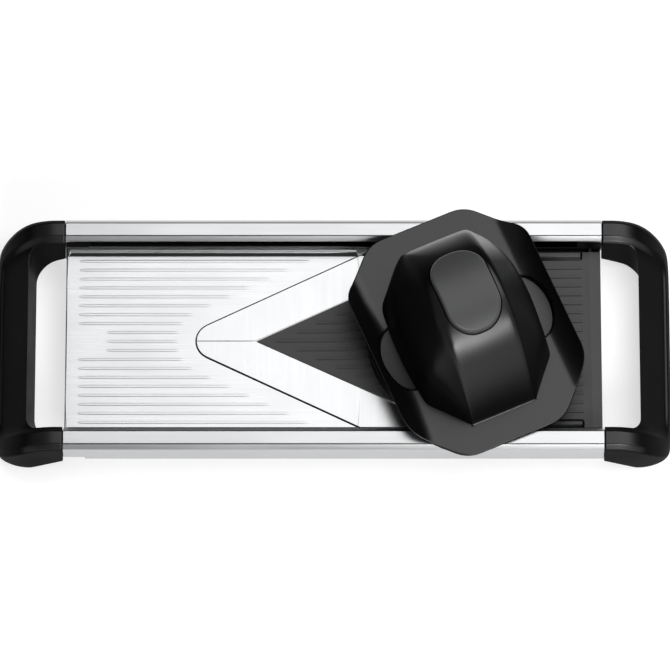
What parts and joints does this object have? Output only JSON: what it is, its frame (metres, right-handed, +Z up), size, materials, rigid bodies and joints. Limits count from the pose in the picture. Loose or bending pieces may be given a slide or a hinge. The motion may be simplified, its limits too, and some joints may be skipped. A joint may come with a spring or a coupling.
{
  "type": "vegetable slicer",
  "caption": "Hand vegetable slicer: bevelled metal rails between loop handles, a ribbed landing plate, a V blade, a tilting runway and a faceted sliding food guard with a thumb plunger.",
  "frame": {"origin": "on the table under the middle of the slicer, half way between the handles' outer ends", "axes": "+X along the rails towards the runway's end, +Y across the rails away from the user, +Z up"},
  "size_m": [0.415, 0.1614, 0.1064],
  "materials": {
    "rail_aluminium": "satin anodised",
    "stainless_sheet": "brushed",
    "blade_steel": "fine ground",
    "plain_steel": "plain",
    "black_plastic": "fine satin",
    "guard_plastic": "satin",
    "grey_plastic": "satin",
    "foot_rubber": "matte"
  },
  "bodies": {
    "frame": {"far_rail": "rail_aluminium", "near_rail": "rail_aluminium", "left_handle": "black_plastic", "right_handle": "black_plastic", "left_foot_pad": "foot_rubber", "right_foot_pad": "foot_rubber", "handle_screw_1": "plain_steel", "handle_screw_2": "plain_steel", "handle_screw_3": "plain_steel", "handle_screw_4": "plain_steel", "landing_plate": "stainless_sheet", "blade_carrier": "grey_plastic", "far_blade": "blade_steel", "near_blade": "blade_steel", "carrier_screw_1": "plain_steel", "carrier_screw_2": "plain_steel", "carrier_screw_3": "plain_steel", "carrier_screw_4": "plain_steel", "runway_pivot_rod": "plain_steel", "far_bearing_block": "black_plastic", "near_bearing_block": "black_plastic", "bearing_screw_1": "plain_steel", "bearing_screw_2": "plain_steel", "bearing_screw_3": "plain_steel", "bearing_screw_4": "plain_steel"},
    "runway": {"runway": "grey_plastic"},
    "depth_dial": {"depth_shaft": "plain_steel", "depth_wheel": "black_plastic", "far_cam": "black_plastic", "near_cam": "black_plastic"},
    "carriage": {"guard_glide_ring": "grey_plastic"},
    "guard": {"guard_shell": "guard_plastic", "stem_guide": "black_plastic", "guide_screw_1": "plain_steel", "guide_screw_2": "plain_steel", "plunger_spring": "plain_steel"},
    "plunger": {"thumb_pad": "guard_plastic", "plunger_stem": "plain_steel", "spike_plate": "black_plastic", "spike_disc": "blade_steel", "spike_plate_screw": "plain_steel"}
  },
  "joints": [
    {"name": "depth_dial", "type": "hinge", "parent": "frame", "child": "depth_dial", "pos_m": [0.085, 0, 0.0095], "axis": [0, 1, 0], "range_deg": [0, 150]},
    {"name": "runway_tilt", "type": "hinge", "parent": "frame", "child": "runway", "pos_m": [0.158, 0, 0.021], "axis": [0, 1, 0], "range_deg": [-1.63, 0]},
    {"name": "guard_slide", "type": "slide", "parent": "frame", "child": "carriage", "axis": [1, 0, 0], "range_m": [-0.18, 0.018]},
    {"name": "guard_swivel", "type": "hinge", "parent": "carriage", "child": "guard", "pos_m": [0.081, 0, 0.0384], "axis": [0, 0, 1], "range_deg": [-47, 0]},
    {"name": "plunger_press", "type": "slide", "parent": "guard", "child": "plunger", "axis": [0, 0, 1], "range_m": [-0.018, 0], "stiffness_N_per_m": 300, "springref_m": 0.01, "deforming": ["plunger_spring"]}
  ],
  "couplings": [
    {"joint": "runway_tilt", "follows": "depth_dial", "ratio": -0.010809}
  ]
}
